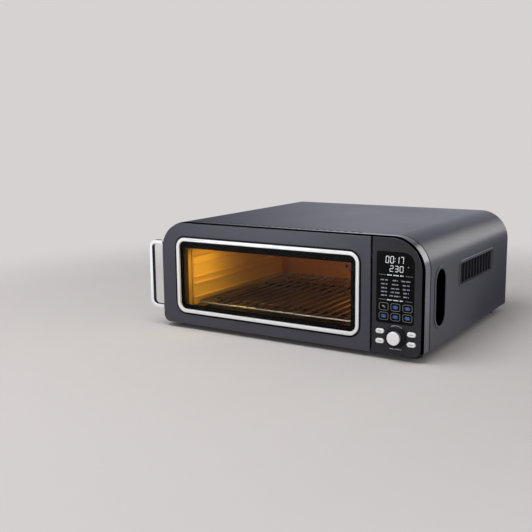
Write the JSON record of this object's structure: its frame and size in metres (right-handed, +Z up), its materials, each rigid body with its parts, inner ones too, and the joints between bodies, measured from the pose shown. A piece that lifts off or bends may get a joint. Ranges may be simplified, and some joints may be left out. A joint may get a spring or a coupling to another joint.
{
  "type": "toaster oven",
  "caption": "Low wide countertop oven with rounded shoulders, side-hinged glass door, chrome door pull, lit control panel with dial and keys, wire rack, crumb tray and rear convection fan.",
  "frame": {"origin": "on the table, under the middle of the whole oven's box", "axes": "+Z up, +X to the user's right, the face and the user towards -Y"},
  "size_m": [0.5352, 0.4508, 0.194],
  "materials": {
    "shell_paint": "satin graphite paint",
    "face_paint": "satin graphite paint",
    "bright_trim": "bright satin",
    "pull_chrome": "polished",
    "silver_keys": "metallised silver",
    "dial_metal": "spun and brushed",
    "black_moulding": "fine moulded texture",
    "liner_black": "satin black",
    "door_glass": "clear tempered",
    "display_black": "gloss tinted",
    "cavity_steel": "aluminised",
    "rack_wire": "plated wire",
    "element_sheath": "heat-tinted",
    "ceramic_white": "unglazed",
    "lamp_bowl": "frosted warm",
    "zinc_steel": "zinc plated",
    "coil_copper": "enamelled wire",
    "board_green": "solder mask",
    "magnet_black": "sintered",
    "seal_rubber": "silicone",
    "display_print": "lit segments and prints",
    "panel_print": "screen ink",
    "foot_rubber": "moulded"
  },
  "bodies": {
    "housing": {"outer_shell": "shell_paint", "vent_grille": "shell_paint", "front_frame": "shell_paint", "control_fascia": "face_paint", "control_carrier": "black_moulding", "right_grip": "black_moulding", "left_grip": "black_moulding", "cord_gland": "black_moulding", "key_switches": "black_moulding", "encoder_body": "black_moulding", "display_lens": "display_black", "cavity_front": "cavity_steel", "cavity_left_wall": "cavity_steel", "cavity_right_wall": "cavity_steel", "cavity_top": "cavity_steel", "cavity_floor": "cavity_steel", "cavity_rear_wall": "cavity_steel", "left_rack_guide": "cavity_steel", "right_rack_guide": "cavity_steel", "fan_grille": "cavity_steel", "upper_elements": "element_sheath", "lower_elements": "element_sheath", "element_bushes": "ceramic_white", "lamp_socket": "ceramic_white", "lamp_glass": "lamp_bowl", "base_pan": "zinc_steel", "rear_panel": "zinc_steel", "hinge_brackets": "zinc_steel", "rear_screws": "zinc_steel", "foot_screws": "zinc_steel", "temperature_probe": "zinc_steel", "fan_housing": "zinc_steel", "fan_motor": "zinc_steel", "motor_coil": "coil_copper", "display_board": "board_green", "power_board": "board_green", "catch_magnet": "magnet_black", "feet": "foot_rubber"},
    "door": {"door_panel": "face_paint", "window_trim": "bright_trim", "outer_glass": "door_glass", "inner_glass": "door_glass", "door_liner": "liner_black", "door_gasket": "seal_rubber", "catch_plate": "zinc_steel", "hinge_pins": "zinc_steel", "handle_bail": "pull_chrome", "handle_screws": "zinc_steel"},
    "dial_plunger": {"encoder_plunger": "black_moulding"},
    "dial": {"encoder_shaft": "zinc_steel", "dial_skirt": "black_moulding", "dial_cap": "dial_metal"},
    "fan": {"fan_shaft": "zinc_steel", "convection_fan": "zinc_steel"},
    "rack": {"wire_rack": "rack_wire"},
    "tray": {"crumb_tray": "cavity_steel"},
    "upper_left_key": {"upper_left_button": "silver_keys"},
    "lower_left_key": {"lower_left_button": "silver_keys"},
    "upper_right_key": {"upper_right_button": "silver_keys"},
    "lower_right_key": {"lower_right_button": "silver_keys"}
  },
  "joints": [
    {"name": "door_hinge", "type": "hinge", "parent": "housing", "child": "door", "pos_m": [0.1769, -0.2111, 0.09875], "axis": [0, 0, 1], "range_deg": [0, 100]},
    {"name": "dial_push", "type": "slide", "parent": "housing", "child": "dial_plunger", "axis": [0, 1, 0], "range_m": [0, 0.0006], "stiffness_N_per_m": 4000},
    {"name": "dial_turn", "type": "hinge", "parent": "dial_plunger", "child": "dial", "pos_m": [0.223, -0.2146, 0.038], "axis": [0, 1, 0], "continuous": true},
    {"name": "fan_spin", "type": "hinge", "parent": "housing", "child": "fan", "pos_m": [-0.0201, 0.1764, 0.09325], "axis": [0, 1, 0], "continuous": true},
    {"name": "rack_slide", "type": "slide", "parent": "housing", "child": "rack", "axis": [0, -1, 0], "range_m": [0, 0.012]},
    {"name": "tray_slide", "type": "slide", "parent": "housing", "child": "tray", "axis": [0, -1, 0], "range_m": [0, 0.012]},
    {"name": "upper_left_key_press", "type": "slide", "parent": "housing", "child": "upper_left_key", "axis": [0, 1, 0], "range_m": [0, 0.0009], "stiffness_N_per_m": 2500},
    {"name": "lower_left_key_press", "type": "slide", "parent": "housing", "child": "lower_left_key", "axis": [0, 1, 0], "range_m": [0, 0.0009], "stiffness_N_per_m": 2500},
    {"name": "upper_right_key_press", "type": "slide", "parent": "housing", "child": "upper_right_key", "axis": [0, 1, 0], "range_m": [0, 0.0009], "stiffness_N_per_m": 2500},
    {"name": "lower_right_key_press", "type": "slide", "parent": "housing", "child": "lower_right_key", "axis": [0, 1, 0], "range_m": [0, 0.0009], "stiffness_N_per_m": 2500}
  ]
}
